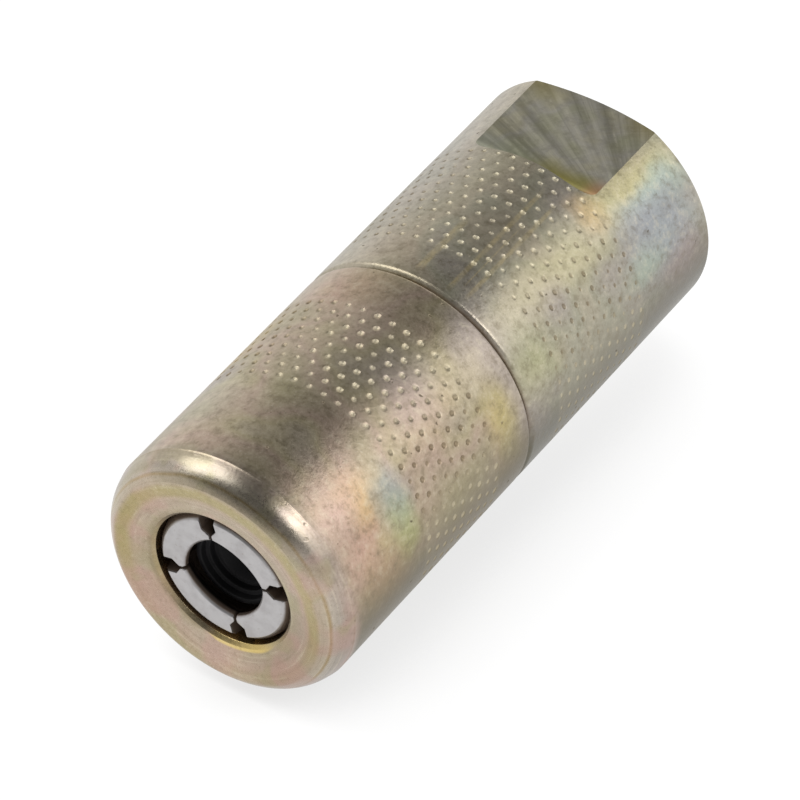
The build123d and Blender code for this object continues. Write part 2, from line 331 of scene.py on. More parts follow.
bodyLow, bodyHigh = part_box("rear_body")
rearBody = {
    "outerRadius": capHigh.z,
    "spigotFront": bodyLow.y,
    "inletFace": bodyHigh.y,
    "shoulder": capHigh.y,
    "shoulderChamfer": 0.35 * mm,
    "shoulderSoftening": 0.30 * mm,
    "rearChamferWidth": 1.20 * mm,
    "rearChamferLength": 0.45 * mm,
    "rearSoftening": 0.10 * mm,
    "spigotRadius": 6.15 * mm,
    "spigotChamfer": 0.30 * mm,
    "threadRadius": 4.86 * mm,
    "threadMouth": 0.45 * mm,
    # the bores behind the thread: radius, and where each starts and ends
    "bores": [
        (4.40 * mm, -6.40 * mm, -6.95 * mm),  # tap drill
        (1.10 * mm, -8.933 * mm, -9.843 * mm),  # passage
        (2.30 * mm, -11.043 * mm, -14.401 * mm),  # valve
        (3.50 * mm, -14.401 * mm, -19.761 * mm),  # plunger
        (4.00 * mm, -19.761 * mm, -20.481 * mm),  # retaining ring's groove
        (3.50 * mm, -20.481 * mm, bodyLow.y + 3.102 * mm),
        (5.125 * mm, bodyLow.y + 3.102 * mm, bodyLow.y),  # spring well
    ],
    "flatHeight": 6.45 * mm,
    "flatLength": 7.05 * mm,
    "flatRunOut": 0.80 * mm,
    "runOutSteps": 10,
    # rings that keep the faces short: one before the knurl, and the number of steps behind it
    "ringBefore": -16.9 * mm,
    "stepsBehind": 7,
}
rearBody["knurl"] = {
    "radius": rearBody["outerRadius"],
    "dimplesRound": 51,
    "firstAngle": -1.60,
    "rings": 11,
    "firstRing": -15.16 * mm,
    "ringPitch": 0.783 * mm,
    "rowHeight": 0.36 * mm,
    "groups": [
        (0.014 * mm, 0.062 * mm),
        (0.030 * mm, 0.050 * mm),
        (0.008 * mm, 0.070 * mm),
        (0.046 * mm, 0.040 * mm),
    ],
    "wall": 0.080 * mm,
    "floor": 0.045 * mm,
    "wallShare": 0.70,
    "seed": 23,
}


def buildFlatCutter():
    # One block above and one below, each with the cutter's round run-out at its front end
    height, length = rearBody["flatHeight"], rearBody["flatLength"]

    def isRunOut(edge):
        return all(end.co.y < 0 and abs(end.co.z) < height * 1.1 for end in edge.verts)

    blocks = []
    for side in (1, -1):
        selectNothing()
        bpy.ops.mesh.primitive_cube_add(size=1, location=(0, 0, side * height * 1.5))
        bpy.ops.transform.resize(value=(4 * height, 2 * length, height))
        block = startPiece("flatCutter")
        bpy.ops.object.mode_set(mode="EDIT")
        pick(block, "EDGE", isRunOut)
        bpy.ops.mesh.bevel(
            offset=rearBody["flatRunOut"], segments=rearBody["runOutSteps"], affect="EDGES"
        )
        blocks.append(block)
    selectNothing()
    for block in blocks:
        block.select_set(True)
    bpy.ops.object.join()
    return bpy.context.object


def buildRearBody():
    body = rearBody
    outer = body["outerRadius"]
    face = body["inletFace"]
    shoulder = body["shoulder"]
    knurlEnd = knurlRows(body["knurl"])[-1]
    chamferEnd = face - body["rearChamferLength"]
    steps = body["stepsBehind"]
    section = roundedSection([
        (outer - body["shoulderChamfer"], shoulder),
        (outer, shoulder + body["shoulderChamfer"], body["shoulderSoftening"], 4),
        (outer, shoulder + 2 * body["shoulderChamfer"]),
        (outer, body["ringBefore"]),
        *[(outer, row) for row in knurlRows(body["knurl"])],
        *[(outer, knurlEnd + (face - knurlEnd) * step / steps) for step in range(1, steps)],
        (outer, chamferEnd - body["rearChamferLength"]),
        (outer, chamferEnd, body["rearSoftening"], 3),
        (outer - body["rearChamferWidth"], face, body["rearSoftening"], 1),
        (body["threadRadius"] + body["threadMouth"], face),
        (body["threadRadius"], face - body["threadMouth"]),
        (body["threadRadius"], body["bores"][0][1]),
        *[(radius, place) for radius, *ends in body["bores"] for place in ends],
        (body["spigotRadius"] - body["spigotChamfer"], body["spigotFront"]),
        (body["spigotRadius"], body["spigotFront"] + body["spigotChamfer"]),
        (body["spigotRadius"], shoulder),
    ])
    piece = turnKnurled("rearBodyTurned", section, body["knurl"])
    creaseRings(piece, section[-20:])  # all of the inside, from the inlet's mouth to the spigot
    pressDimples(piece, body["knurl"])
    applyModifier(piece, "SUBSURF", levels=1, render_levels=1)
    cutter = buildFlatCutter()
    applyModifier(piece, "BOOLEAN", object=cutter, operation="DIFFERENCE", solver="EXACT")
    bpy.data.objects.remove(cutter)
    smoothPiece(piece)
    return piece


bodyPiece = buildRearBody()
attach(bodyPiece, "shell")
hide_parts("rear_body")
print("rear body turned, knurled and milled:", len(bodyPiece.data.polygons), "faces")


# Inlet thread

inletThread = {
    "majorRadius": rearBody["threadRadius"],
    "minorRadius": 4.29 * mm,
    "pitch": 0.907 * mm,
    "rootWidth": 0.80 * mm,
    "crestWidth": 0.12 * mm,
    "rootOverlap": 0.02 * mm,
    "start": rearBody["inletFace"] - 0.62 * mm,
    "length": 5.10 * mm,
    "stepsRound": 60,
}


def drawWire(name, points):
    # A closed line, drawn corner by corner from one vertex
    selectNothing()
    bpy.ops.mesh.primitive_plane_add(size=mm, location=points[0])
    piece = startPiece(name)
    editAll("VERT")
    bpy.ops.mesh.merge(type="CENTER")
    for before, after in zip(points, points[1:]):
        bpy.ops.mesh.extrude_vertices_move(TRANSFORM_OT_translate={"value": after - before})
    ends = (points[0], points[-1])
    pick(piece, "VERT", lambda corner: any((corner.co - end).length < 0.001 * mm for end in ends))
    bpy.ops.mesh.edge_face_add()
    return piece


def windScrew(piece, turns, length, stepsRound):
    # Sweeps the piece's outline along a screw line, fills its ends and turns its faces outwards
    steps = round(turns * stepsRound)
    applyModifier(
        piece, "SCREW", axis="Y", angle=2 * math.pi * turns, screw_offset=length,
        steps=steps, render_steps=steps, use_smooth_shade=False,
    )
    editAll("EDGE")
    bpy.ops.mesh.remove_doubles(threshold=0.001 * mm)
    bpy.ops.mesh.fill_holes(sides=0)
    bpy.ops.mesh.normals_make_consistent(inside=False)


def buildInletThread():
    thread = inletThread
    root, crest = thread["rootWidth"] / 2, thread["crestWidth"] / 2
    outside = thread["majorRadius"] + thread["rootOverlap"]
    middle = thread["start"] - thread["length"]
    ridge = [
        Vector((outside, middle - root, 0)),
        Vector((thread["minorRadius"], middle - crest, 0)),
        Vector((thread["minorRadius"], middle + crest, 0)),
        Vector((outside, middle + root, 0)),
    ]
    piece = drawWire("inletThreadRidge", ridge)
    windScrew(piece, thread["length"] / thread["pitch"], thread["length"], thread["stepsRound"])
    smoothPiece(piece, 40)
    return piece


threadPiece = buildInletThread()
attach(threadPiece, "shell")
print("inlet thread cut:", len(threadPiece.data.polygons), "faces")


# Jaws

jaws = {
    "nodes": ["jaw_1", "jaw_2", "jaw_3", "jaw_4"],
    "edgeRounding": 0.06 * mm,
    "edgeSteps": 3,
    "edgeAngle": 28,  # degrees from which an edge is broken
}


def newObject(name, data):
    thing = bpy.data.objects.new(name, data)
    bpy.context.scene.collection.objects.link(thing)
    return thing


def buildJaw(node):
    # A copy of the CAD piece, its triangles merged and its flat faces made whole, with broken edges
    piece = newObject(node.replace("_", "") + "Ground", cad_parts[node].data.copy())
    onlySelect(piece)
    editAll("VERT")
    bpy.ops.mesh.remove_doubles(threshold=0.0005 * mm)
    bpy.ops.mesh.dissolve_limited(angle_limit=math.radians(0.5))
    applyModifier(
        piece, "BEVEL", width=jaws["edgeRounding"], segments=jaws["edgeSteps"],
        limit_method="ANGLE", angle_limit=math.radians(jaws["edgeAngle"]),
    )
    smoothPiece(piece, 32)
    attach(piece, node)
    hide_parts(node)
    return piece


jawPieces = [buildJaw(node) for node in jaws["nodes"]]
print("jaws ground:", len(jawPieces), "pieces of", len(jawPieces[0].data.polygons), "faces")


# Seal and O-ring

sealLow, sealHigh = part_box("seal")
seal = {
    "front": sealLow.y,
    "rear": sealHigh.y,
    "radius": sealHigh.x,
    "noseRadius": 2.379 * mm,
    "shoulderDepth": 1.980 * mm,
    "rimWidth": 0.30 * mm,
    "stepDepth": 0.40 * mm,
    "stepWidth": 0.28 * mm,
    "stepLean": 0.04 * mm,
    "boreRadius": 1.05 * mm,
    "funnelLength": 0.50 * mm,
    "neckRadius": 1.50 * mm,
    "neckLength": 1.52 * mm,
    "rounding": 0.07 * mm,
    "segments": 128,
}


def buildSeal():
    front, rear = seal["front"], seal["rear"]
    rounding = seal["rounding"]
    stepOne = seal["noseRadius"] - seal["rimWidth"]
    stepTwo = stepOne - seal["stepWidth"]
    funnel = stepTwo - seal["stepWidth"]
    funnelFront = front + 2 * seal["stepDepth"]
    section = roundedSection([
        (seal["noseRadius"], front, rounding, 3),
        (stepOne, front, rounding, 3),
        (stepOne - seal["stepLean"], front + seal["stepDepth"], rounding, 3),
        (stepTwo, front + seal["stepDepth"], rounding, 3),
        (stepTwo - seal["stepLean"], funnelFront, rounding, 3),
        (funnel, funnelFront, rounding, 3),
        (seal["boreRadius"], funnelFront + seal["funnelLength"], rounding, 3),
        (seal["boreRadius"], rear - seal["neckLength"]),
        (seal["neckRadius"], rear - seal["neckLength"]),
        (seal["neckRadius"], rear),
        (seal["radius"], rear, rounding, 3),
        (seal["radius"], front + seal["shoulderDepth"], rounding, 3),
    ])
    piece = turnPiece("sealMoulded", section, seal["segments"])
    smoothPiece(piece, 40)
    return piece


sealPiece = buildSeal()
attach(sealPiece, "plunger")
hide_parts("seal")

ringLow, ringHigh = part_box("plunger_o_ring")
oRing = {
    "outerRadius": ringHigh.x,
    "innerRadius": 2.60 * mm,
    "middle": (ringLow.y + ringHigh.y) / 2,
    "squeezed": 0.04 * mm,
    "segments": 64,
    "sides": 16,
}


def buildORing():
    # A round ring, flattened a little where the groove and the bore press on it
    inner, outer = oRing["innerRadius"], oRing["outerRadius"]
    selectNothing()
    bpy.ops.mesh.primitive_torus_add(
        major_segments=oRing["segments"], minor_segments=oRing["sides"],
        major_radius=(outer + inner) / 2, minor_radius=(outer - inner) / 2,
        location=(0, oRing["middle"], 0), rotation=(math.pi / 2, 0, 0),
    )
    piece = startPiece("oRingSqueezed")
    bpy.ops.object.mode_set(mode="EDIT")
    mesh = bmesh.from_edit_mesh(piece.data)
    for corner in mesh.verts:
        radius = math.hypot(corner.co.x, corner.co.z)
        share = min(max(radius, inner + oRing["squeezed"]), outer - oRing["squeezed"]) / radius
        corner.co.x *= share
        corner.co.z *= share
    bmesh.update_edit_mesh(piece.data)
    smoothPiece(piece, 60)
    return piece


oRingPiece = buildORing()
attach(oRingPiece, "plunger")
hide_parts("plunger_o_ring")
print("seal and O-ring moulded")


# Springs

def springFromNode(node, wire, coilRadius, turns, travel):
    low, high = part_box(node)
    return {
        "front": low.y,
        "rear": high.y,
        "wire": wire,
        "coilRadius": coilRadius,
        "turns": turns,
        "keptShare": 1 - travel / (high.y - low.y),  # of its length, when pressed home
    }


mainSpring = springFromNode("main_spring", 0.85 * mm, 4.45 * mm, 4.0, 2.7475 * mm)
checkSpring = springFromNode("check_spring", 0.40 * mm, 1.35 * mm, 4.0, 2.70 * mm)
springEnds = {"groundShare": 0.30, "sides": 12, "stepsRound": 36, "mergeReach": 0.004 * mm}


def buildSpring(name, spring):
    # A round wire wound about the axis, with both ends ground flat
    ground = spring["wire"] * springEnds["groundShare"]
    pitch = (spring["rear"] - spring["front"] - spring["wire"]) / spring["turns"]
    length = spring["rear"] - spring["front"] - spring["wire"] + 2 * ground
    start = spring["front"] + spring["wire"] / 2 - ground
    selectNothing()
    bpy.ops.mesh.primitive_circle_add(
        vertices=springEnds["sides"], radius=spring["wire"] / 2,
        location=(spring["coilRadius"], start, 0),
    )
    piece = startPiece(name)
    windScrew(piece, length / pitch, length, springEnds["stepsRound"])
    for place, inwards in ((spring["front"], 1), (spring["rear"], -1)):
        bpy.ops.mesh.select_all(action="SELECT")
        bpy.ops.mesh.bisect(plane_co=(0, place, 0), plane_no=(0, inwards, 0), clear_inner=True)
        bpy.ops.mesh.select_all(action="SELECT")
        bpy.ops.mesh.remove_doubles(threshold=springEnds["mergeReach"])
        bpy.ops.mesh.fill_holes(sides=0)
    pick(piece, "FACE", lambda face: len(face.verts) > 4)
    bpy.ops.mesh.quads_convert_to_tris(ngon_method="BEAUTY")
    bpy.ops.mesh.select_all(action="SELECT")
    bpy.ops.mesh.normals_make_consistent(inside=False)
    smoothPiece(piece, 40)
    return piece


mainSpringPiece = buildSpring("mainSpringWound", mainSpring)
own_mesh(mainSpringPiece)
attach(mainSpringPiece, "shell")
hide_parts("main_spring")
checkSpringPiece = buildSpring("checkSpringWound", checkSpring)
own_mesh(checkSpringPiece)
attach(checkSpringPiece, "shell")
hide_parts("check_spring")
print("springs wound:", [len(piece.data.polygons) for piece in (mainSpringPiece, checkSpringPiece)])


# Finishes

def shown(red, green, blue):
    # A colour as the eye reads it on a screen, 0 to 255, in the light units of the nodes
    def linear(value):
        share = value / 255
        return share / 12.92 if share <= 0.04045 else ((share + 0.055) / 1.055) ** 2.4

    return (linear(red), linear(green), linear(blue), 1)


class Field:
    # A value, colour or direction on its way through the nodes of a finish
    def __init__(self, tree, socket):
        self.tree = tree
        self.socket = socket

    def node(self, kind, settings=None, values=None, result=0):
        new = self.tree.nodes.new(kind)
        for setting, value in (settings or {}).items():
            if setting == "stops":
                ramp = new.color_ramp
                while len(ramp.elements) < len(value):
                    ramp.elements.new(1)
                for element, (place, colour) in zip(ramp.elements, value):
                    element.position = place
                    element.color = colour
            else:
                setattr(new, setting, value)
        for place, value in (values or {}).items():
            if isinstance(value, Field):
                self.tree.links.new(value.socket, new.inputs[place])
            else:
                new.inputs[place].default_value = value
        return Field(self.tree, new.outputs[result])

    def calc(self, operation, *others):
        values = dict(enumerate((self, *others)))
        return self.node("ShaderNodeMath", {"operation": operation}, values)

    def __add__(self, other):
        return self.calc("ADD", other)

    __radd__ = __add__

    def __sub__(self, other):
        return self.calc("SUBTRACT", other)

    def __rsub__(self, number):
        return self.node("ShaderNodeMath", {"operation": "SUBTRACT"}, {0: number, 1: self})

    def __mul__(self, other):
        return self.calc("MULTIPLY", other)

    def __truediv__(self, other):
        return self.calc("DIVIDE", other)

    def scaled(self, value):
        # A place or direction, stretched by one number or by three
        if isinstance(value, tuple):
            return self.node("ShaderNodeVectorMath", {"operation": "MULTIPLY"}, {0: self, 1: value})
        return self.node("ShaderNodeVectorMath", {"operation": "SCALE"}, {0: self, 3: value})

    def length(self):
        return self.node("ShaderNodeVectorMath", {"operation": "LENGTH"}, {0: self}, result=1)

    def axis(self, number):
        return self.node("ShaderNodeSeparateXYZ", values={0: self}, result=number)

    def noise(self, scale, detail=2.0, roughness=0.5):
        values = {"Vector": self, "Scale": scale, "Detail": detail, "Roughness": roughness}
        return self.node("ShaderNodeTexNoise", values=values)

    def between(self, low, high):
        # 0 below low and 1 above high, with a soft rise between them
        values = {"Value": self, "From Min": low, "From Max": high, "To Min": 0.0, "To Max": 1.0}
        return self.node("ShaderNodeMapRange", {"interpolation_type": "SMOOTHSTEP"}, values)

    def below(self, low, high):
        return 1 - self.between(low, high)

    def ramp(self, stops):
        return self.node("ShaderNodeValToRGB", {"stops": stops}, {0: self})

    def tinted(self, stops):
        # A ramp of screen colours
        return self.ramp([(place, shown(*tint)) for place, *tint in stops])

    def painted(self, colour, share):
        # This colour with another laid over it by a share
        return self.node("ShaderNodeMix", {"data_type": "RGBA"}, {0: share, 6: self, 7: colour}, 2)

    def coated(self, look, **masks):
        # This colour with some of a look's coats over it, each by its mask; a coat is red, green
        # and blue with its strength
        colour = self
        for name, mask in masks.items():
            *tint, strength = look[name]
            colour = colour.painted(shown(*tint), mask * strength)
        return colour


def startFinish(name, **constants):
    # A new material with its shader's constants set: the material, its shader and the place in mm
    material = bpy.data.materials.new(name)
    material.use_nodes = True
    tree = material.node_tree
    shader = tree.nodes["Principled BSDF"]
    for socket, value in constants.items():
        shader.inputs[socket.replace("_", " ")].default_value = value
    coordinates = tree.nodes.new("ShaderNodeTexCoord")
    place = Field(tree, coordinates.outputs["Object"]).scaled(1 / mm)
    return material, shader, place


def connect(shader, **fields):
    for socket, field in fields.items():
        field.tree.links.new(field.socket, shader.inputs[socket.replace("_", " ")])


def raised(height, strength, distance):
    values = {"Strength": strength, "Distance": distance, "Height": height}
    return height.node("ShaderNodeBump", values=values)


def turnAngle(place):
    # Degrees round the axis, from straight up towards +X
    return place.axis(0).calc("ARCTAN2", place.axis(2)) * (180 / math.pi)


def axisDistance(place):
    return place.scaled((1, 0, 1)).length()


def stretched(first, second):
    return first.node("ShaderNodeCombineXYZ", values={0: first, 1: second, 2: 0.0})


zinc = {
    "patchScale": 0.15,
    "roughness": 0.29,
    "nosePolish": 0.12,
    "driftScale": 0.30,
    "driftTurn": 26.0,
    "driftAlong": 2.2,
    # each mark's size, and where in its noise it starts and is full
    "stainScale": 1.1,
    "stainSpread": (0.50, 0.78),
    "mottleScale": 2.0,
    "mottleLight": (0.50, 0.70),
    "mottleDark": (0.32, 0.50),
    "speckScale": 1.9,
    "speckSpread": (0.735, 0.785),
    "grainScale": 6.5,
    "grainLight": (0.54, 0.74),
    "grainDark": (0.30, 0.46),
    # each mark's colour and strength
    "stain": (128, 116, 92, 0.28),
    "lightMottle": (224, 214, 188, 0.26),
    "darkMottle": (112, 101, 78, 0.34),
    "speck": (88, 78, 60, 1.0),
    "lightGrain": (255, 248, 232, 0.14),
    "darkGrain": (92, 84, 66, 0.22),
    "rubbed": shown(234, 214, 160),
    # painted shade on the low sides: the side, the degrees where it starts, is full, fades
    # and ends, and its share
    "dullSides": [(1, 58.0, 102.0, 140.0, 175.0, 0.93), (-1, 32.0, 58.0, 140.0, 175.0, 0.36)],
    # painted shade and highlight in the pressed dimples, from underneath round by the left, the top
    # and the right: darker on the upper left and upper right, pale on top and low on the right; the
    # dimples are rougher than the face around them, on which a little of the colour shows too
    "pressed": [
        (0.28, 150, 134, 100),
        (0.40, 122, 108, 82),
        (0.47, 222, 213, 187),
        (0.58, 222, 213, 187),
        (0.64, 132, 117, 92),
        (0.69, 136, 121, 96),
        (0.73, 214, 204, 178),
        (0.82, 180, 168, 142),
    ],
    "pressedShare": 0.62,
    "pressedBetween": 0.14,
    "pressedRough": 0.20,
    # dirt and painted shade in the groove between the cap and the rear body: mm either side
    # of the joint
    "grime": (122, 100, 78, 0.85),
    "grimeBehind": 0.14,
    # on top, the painted shade of the body's shoulder makes it wider
    "grimeWide": 0.60,  # how much wider it lies on top of the coupler
    "grimeAhead": 0.04,
}
zincCap = {
    # the colour of the painted shade on the low sides
    "dull": shown(96, 87, 66),
    "film": [
        (0.00, 170, 162, 130),
        (0.30, 182, 168, 144),
        (0.52, 188, 168, 150),
        (0.72, 186, 174, 144),
        (1.00, 178, 166, 156),
    ],
    # place on the cap: degrees round, mm along, half sizes in degrees and mm, colour, strength
    "clouds": [
        (-56, -25.0, 12, 3.8, 222, 192, 122, 0.55),
        (66, -32.0, 20, 2.6, 206, 162, 144, 0.55),
        (48, -30.9, 12, 1.4, 224, 190, 122, 0.55),
        (38, -32.4, 15, 2.6, 212, 178, 166, 0.55),
        (57, -29.2, 15, 1.3, 154, 172, 176, 0.60),
        (72, -29.4, 16, 1.4, 180, 186, 116, 0.60),
        (88, -31.4, 15, 2.2, 196, 158, 112, 0.40),
        (40, -25.0, 18, 2.4, 204, 172, 158, 0.40),
        (68, -20.3, 15, 1.5, 200, 182, 112, 0.55),
        (95, -20.2, 18, 1.6, 186, 172, 112, 0.40),
        (-22, -20.2, 20, 1.8, 186, 152, 132, 0.45),
        (-36, -30.4, 18, 2.8, 174, 170, 146, 0.50),
        (-30, -33.4, 24, 1.4, 190, 162, 148, 0.40),
        (84, -25.6, 16, 3.2, 174, 162, 126, 0.40),
        (150, -27.0, 34, 3.6, 176, 182, 162, 0.45),
        (215, -31.0, 30, 3.0, 202, 170, 150, 0.45),
        (190, -22.5, 28, 2.6, 186, 174, 118, 0.40),
    ],
}
zincBody = {
    # the colour of the painted shade on the low sides
    "dull": shown(98, 95, 84),
    "film": [
        (0.00, 166, 160, 136),
        (0.30, 176, 168, 146),
        (0.52, 182, 172, 152),
        (0.72, 176, 172, 152),
        (1.00, 178, 168, 160),
    ],
    "clouds": [
        (64, -16.6, 18, 2.0, 184, 184, 132, 0.50),
        (38, -12.0, 12, 6.0, 204, 194, 148, 0.45),
        (35, -7.4, 8, 1.1, 228, 186, 126, 0.50),
        (36, -4.0, 9, 3.6, 206, 198, 138, 0.55),
        (46, -2.6, 9, 2.6, 176, 196, 178, 0.55),
        (62, -3.8, 22, 3.8, 160, 170, 182, 0.62),
        (70, -6.4, 9, 1.8, 174, 192, 170, 0.50),
        (92, -2.6, 20, 2.4, 184, 156, 158, 0.50),
        (-16, -16.4, 18, 2.8, 182, 160, 138, 0.30),
        (76, -11.0, 22, 4.2, 168, 170, 156, 0.40),
        (-38, -9.0, 20, 9.0, 184, 178, 176, 0.40),
        (140, -6.0, 30, 4.2, 184, 184, 140, 0.45),
        (172, -13.0, 26, 4.0, 198, 168, 148, 0.40),
        (228, -5.0, 32, 4.4, 162, 174, 172, 0.45),
        (262, -14.0, 26, 3.6, 186, 170, 124, 0.40),
    ],
}
# Rings of colour on the nose: the distance from the axis plus the way back from the front, in mm
noseRings = {
    "start": 4.4,
    "end": 9.9,
    "fadeFront": -34.6,
    "fadeRear": -33.7,
    "share": 0.75,
    "wander": 0.35,
    "streakScale": 5.0,
    "streakTurn": 0.004,  # how little a streak changes on its way round
    "lightStreak": (222, 210, 186, 0.36),
    "darkStreak": (136, 120, 96, 0.30),
    "stops": [
        (0.00, 180, 168, 146),
        (0.07, 175, 162, 136),
        (0.16, 176, 158, 140),
        (0.24, 183, 160, 142),
        (0.31, 176, 157, 130),
        (0.40, 182, 167, 148),
        (0.48, 186, 173, 154),
        (0.52, 164, 142, 104),
        (0.56, 188, 178, 165),
        (0.64, 172, 163, 153),
        (0.79, 171, 157, 148),
        (1.00, 176, 158, 142),
    ],
    "blushScale": 0.30,
    "blush": (190, 150, 140, 0.50),
    "mossScale": 0.42,
    "moss": (162, 158, 116, 0.40),
    # the hole's rim is gilded, with a painted gold highlight underneath, and painted brown shade
    # on its left
    "rim": (232, 204, 122, 0.75),
    "rimShade": (112, 94, 66, 0.5),
    # an olive arc over the dished face: degrees where it starts and ends, mm out, half width in mm
    "oliveFrom": (-125.0, -85.0),
    "oliveTo": (85.0, 125.0),
    "oliveTurn": 40.0,  # how many degrees its ends wander
    "oliveReach": 6.05,
    "oliveHalf": 0.50,
    "olive": (164, 150, 84, 0.65),
}
# Bright lines rubbed along the rear body: degrees round, mm where they start and end, half width
# in degrees, strength
rubbedLines = [
    (14.0, -17.8, -8.2, 1.0, 0.55),
    (22.0, -17.6, -8.6, 0.9, 0.50),
    (-1.5, -17.6, -12.4, 1.5, 0.50),
    (18.0, -17.0, -11.0, 0.3, 0.40),
]


def dullSide(place):
    # The share of painted shade on the low sides; it fades out underneath
    share = 0
    for side, start, full, fade, end, most in zinc["dullSides"]:
        angle = turnAngle(place) * side
        share += angle.between(start, full) * angle.below(fade, end) * most
    return share


def zincPlating(place, plating):
    # The plating's drifting film of colour with its soft clouds
    drift = place.noise(zinc["driftScale"], detail=3.0, roughness=0.55) - 0.5
    angle = turnAngle(place) + drift * zinc["driftTurn"]
    along = place.axis(1) + drift * zinc["driftAlong"]
    colour = place.noise(zinc["patchScale"], detail=2.0).between(0.25, 0.75).tinted(plating["film"])
    for degrees, middle, halfTurn, halfLength, *coat in plating["clouds"]:
        turned = (angle - degrees).calc("WRAP", 180.0, -180.0)
        reach = stretched(turned / halfTurn, (along - middle) / halfLength).length()
        colour = colour.coated({"cloud": coat}, cloud=reach.below(0.1, 1.5))
    # painted shade laid over the low sides
    return colour.painted(plating["dull"], dullSide(place))


def ringedNose(place, colour):
    rings = noseRings
    wander = (place.noise(0.5, detail=2.0) - 0.5) * rings["wander"]
    reach = axisDistance(place) + place.axis(1) - cap["noseFront"] / mm + wander
    ringed = ((reach - rings["start"]) / (rings["end"] - rings["start"])).tinted(rings["stops"])
    streaks = stretched(reach - wander, turnAngle(place) * rings["streakTurn"])
    streaks = streaks.noise(rings["streakScale"], detail=3.0)
    angle = turnAngle(place) + wander * rings["oliveTurn"]
    over = angle.between(*rings["oliveFrom"]) * angle.below(*rings["oliveTo"])
    middle = (reach - rings["oliveReach"]).calc("ABSOLUTE").below(0.1, rings["oliveHalf"])
    beyond = axisDistance(place) - cap["holeRadius"] / mm
    # underneath the hole, where the rim has its painted gold highlight
    low = place.axis(2).below(-3.9, -2.6) * place.axis(0).between(-1.2, -0.2)
    left = place.axis(0).below(-1.8, -0.6)
    ringed = ringed.coated(
        rings,
        lightStreak=streaks.between(0.54, 0.70),
        darkStreak=streaks.below(0.32, 0.46),
        blush=place.noise(rings["blushScale"], detail=2.0).between(0.48, 0.60),
        moss=place.noise(rings["mossScale"], detail=2.0).between(0.53, 0.63),
        olive=over * middle,
        # painted brown shade on the rim's left, and a painted gold highlight on the rim underneath
        rimShade=beyond.below(0.15, 0.55) * left,
        rim=(beyond - low * 0.2).below(0.10, 0.24) * (low + 0.16),
    )
    share = place.axis(1).below(rings["fadeFront"], rings["fadeRear"])
    return colour.painted(ringed, share * rings["share"])


def jointGrime(place):
    # Brown dirt and painted shade down in the groove between the two halves, wider on top
    angle = turnAngle(place)
    onTop = angle.between(2.0, 14.0) * angle.below(80.0, 110.0)
    behind = place.axis(1) - cap["shoulder"] / mm
    ahead = 0 - behind
    behind = behind * (1 - onTop * zinc["grimeWide"])
    return behind.below(0.0, zinc["grimeBehind"]) * ahead.below(0.0, zinc["grimeAhead"])


def rubbedBody(place, colour):
    angle = turnAngle(place)
    along = place.axis(1)
    broken = place.scaled((1, 0.35, 1)).noise(4.0, detail=3.0, roughness=0.6).between(0.38, 0.62)
    for degrees, start, end, halfWidth, strength in rubbedLines:
        line = (angle - degrees).calc("ABSOLUTE").below(halfWidth * 0.4, halfWidth * 1.6)
        run = along.between(start, start + 0.8) * along.below(end - 1.2, end)
        colour = colour.painted(zinc["rubbed"], line * run * (broken * 0.5 + 0.5) * strength)
    return colour


def pressedPart(place, knurl):
    # 1 down in a knurl's dimples, a little on the face between them, 0 beyond it and in the bores
    level = knurl["radius"] / mm
    depth = axisDistance(place).below(level - 0.040, level - 0.004)
    outside = axisDistance(place).between(level - 1.0, level - 0.8)
    rows = knurlRows(knurl)
    start, end = rows[0] / mm, rows[-1] / mm
    inRows = place.axis(1).between(start - 0.2, start) * place.axis(1).below(end, end + 0.2)
    return (depth * (1 - zinc["pressedBetween"]) + zinc["pressedBetween"]) * inRows * outside


def zincFinish(name, plating, markings, knurl):
    # Yellow zinc plate: film, clouds, stains, specks and a fine grain in colour, gloss and height
    material, shader, place = startFinish(name)
    colour = markings(place, zincPlating(place, plating))
    stain = place.noise(zinc["stainScale"], detail=4.0, roughness=0.62)
    stain = stain.between(*zinc["stainSpread"])
    mottle = place.noise(zinc["mottleScale"], detail=3.0, roughness=0.6)
    speck = place.noise(zinc["speckScale"], detail=1.5).between(*zinc["speckSpread"])
    grain = place.noise(zinc["grainScale"], detail=3.0, roughness=0.65)
    pressed = pressedPart(place, knurl)
    # painted shade and highlight in the dimples, by their side round the axis
    pressedColour = (turnAngle(place) / 360 + 0.5).tinted(zinc["pressed"])
    # dirt and painted shade in the joint
    grime = jointGrime(place)
    # the nose is cleaner and glossier than the rest
    calm = place.axis(1).between(noseRings["fadeFront"] - 1.0, noseRings["fadeRear"]) * 0.7 + 0.3
    # where the low sides have no painted shade; the light mottle and grain stay off the shade
    clear = 1 - dullSide(place)
    colour = colour.coated(
        zinc,
        stain=stain * calm,
        lightMottle=mottle.between(*zinc["mottleLight"]) * calm * clear,
        darkMottle=mottle.below(*zinc["mottleDark"]) * calm,
        speck=speck * (calm - 0.3),
        lightGrain=grain.between(*zinc["grainLight"]) * clear,
        darkGrain=grain.below(*zinc["grainDark"]),
    )
    # the dimples' painted shade and highlight laid on
    colour = colour.painted(pressedColour, pressed * zinc["pressedShare"])
    # the joint's dirt and painted shade laid on
    colour = colour.coated(zinc, grime=grime)
    roughness = zinc["roughness"] + grain * 0.14 + speck * calm * 0.2
    roughness = roughness + pressed * zinc["pressedRough"] - (1 - calm) * zinc["nosePolish"]
    height = (grain + mottle * 0.6 + stain * 0.2 - speck * 0.9) * calm
    connect(
        shader, Base_Color=colour, Roughness=roughness, Metallic=1 - grime * 0.6,
        Normal=raised(height, 0.7, 0.018 * mm),
    )
    return material
